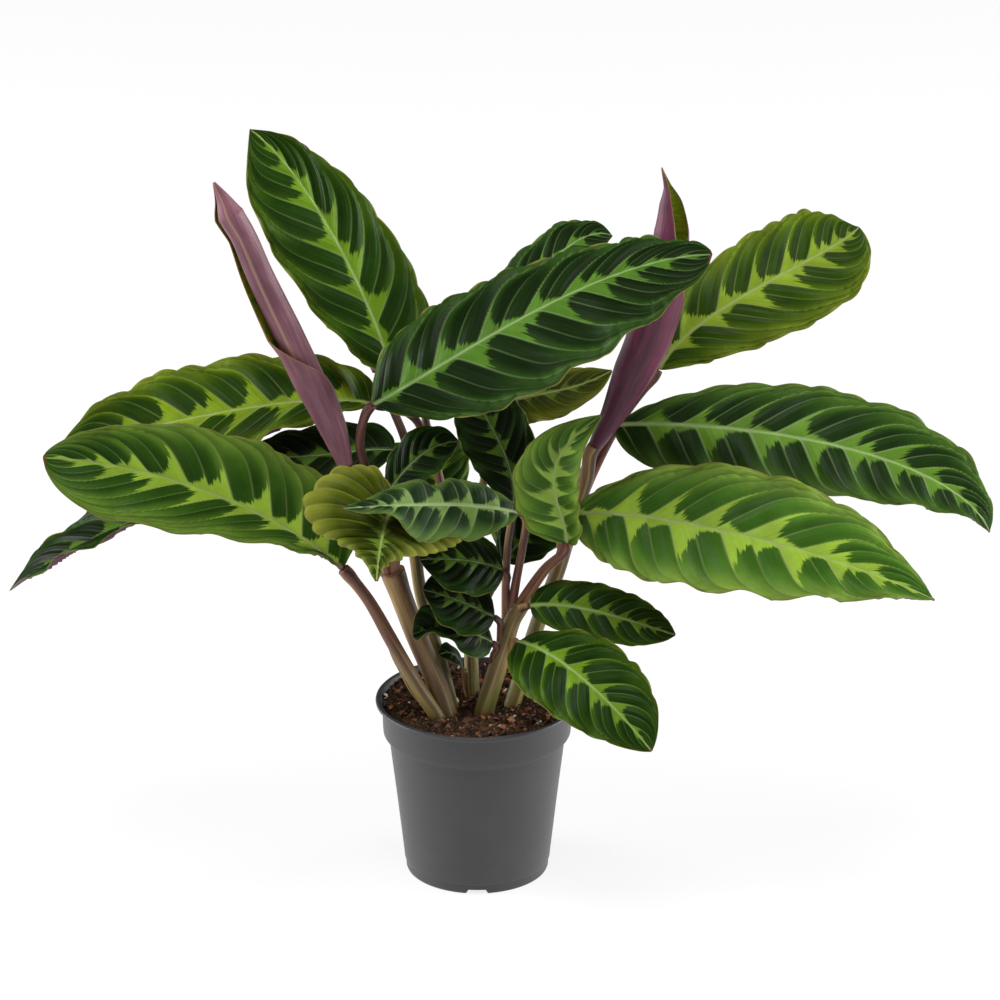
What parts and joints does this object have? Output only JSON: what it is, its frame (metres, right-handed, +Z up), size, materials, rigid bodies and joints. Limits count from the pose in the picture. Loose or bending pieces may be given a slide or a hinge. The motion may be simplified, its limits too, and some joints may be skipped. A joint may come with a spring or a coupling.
{
  "type": "potted calathea",
  "caption": "Leafy calathea in a tapered nursery pot: long striped blades on reddish stalks with rolled young leaves, standing on a flat foot.",
  "frame": {"origin": "middle of the pot's foot, on the surface it stands on", "axes": "+Z up, +X along the plant's greatest spread, -Y towards its front"},
  "size_m": [0.6721, 0.2899, 0.5196],
  "materials": {
    "pot_plastic": "dark grey moulded polypropylene, satin",
    "peat": "dark brown peat with coco chips, rough",
    "stem": "tan brown to olive leaf sheaths and dark red stalks, satin",
    "leaf_green": "dark green blade with light green feathered bands along the midrib, satin",
    "leaf_olive": "olive green blade, satin",
    "leaf_plum": "plum underside of the rolled young leaves, satin"
  },
  "bodies": {
    "root": {"pot": "pot_plastic", "soil": "peat", "shoot_left": "stem", "shoot_centre": "stem", "shoot_right": "stem", "shoot_back": "stem", "leaf_high_left": "leaf_green", "leaf_front_upper": "leaf_green", "leaf_back_left": "leaf_green", "leaf_front_left": "leaf_green", "leaf_low_left": "leaf_green", "leaf_back_centre": "leaf_green", "leaf_upper_right": "leaf_green", "leaf_mid_right": "leaf_green", "leaf_low_right": "leaf_green", "leaf_small_right": "leaf_green", "leaf_drooping_right": "leaf_green", "leaf_folded": "leaf_green", "leaf_dark_centre": "leaf_green", "leaf_small_left": "leaf_green", "leaf_front_centre": "leaf_green", "leaf_olive": "leaf_olive", "leaf_inner_left": "leaf_green", "leaf_inner_low": "leaf_green", "leaf_curled": "leaf_green", "leaf_lowest": "leaf_green", "leaf_shaded_left": "leaf_green", "leaf_olive_back": "leaf_olive", "leaf_shaded_right": "leaf_green", "leaf_rear_left": "leaf_green", "leaf_rear_right": "leaf_green", "spear_left": "leaf_plum", "spear_right": "leaf_plum"}
  },
  "joints": []
}
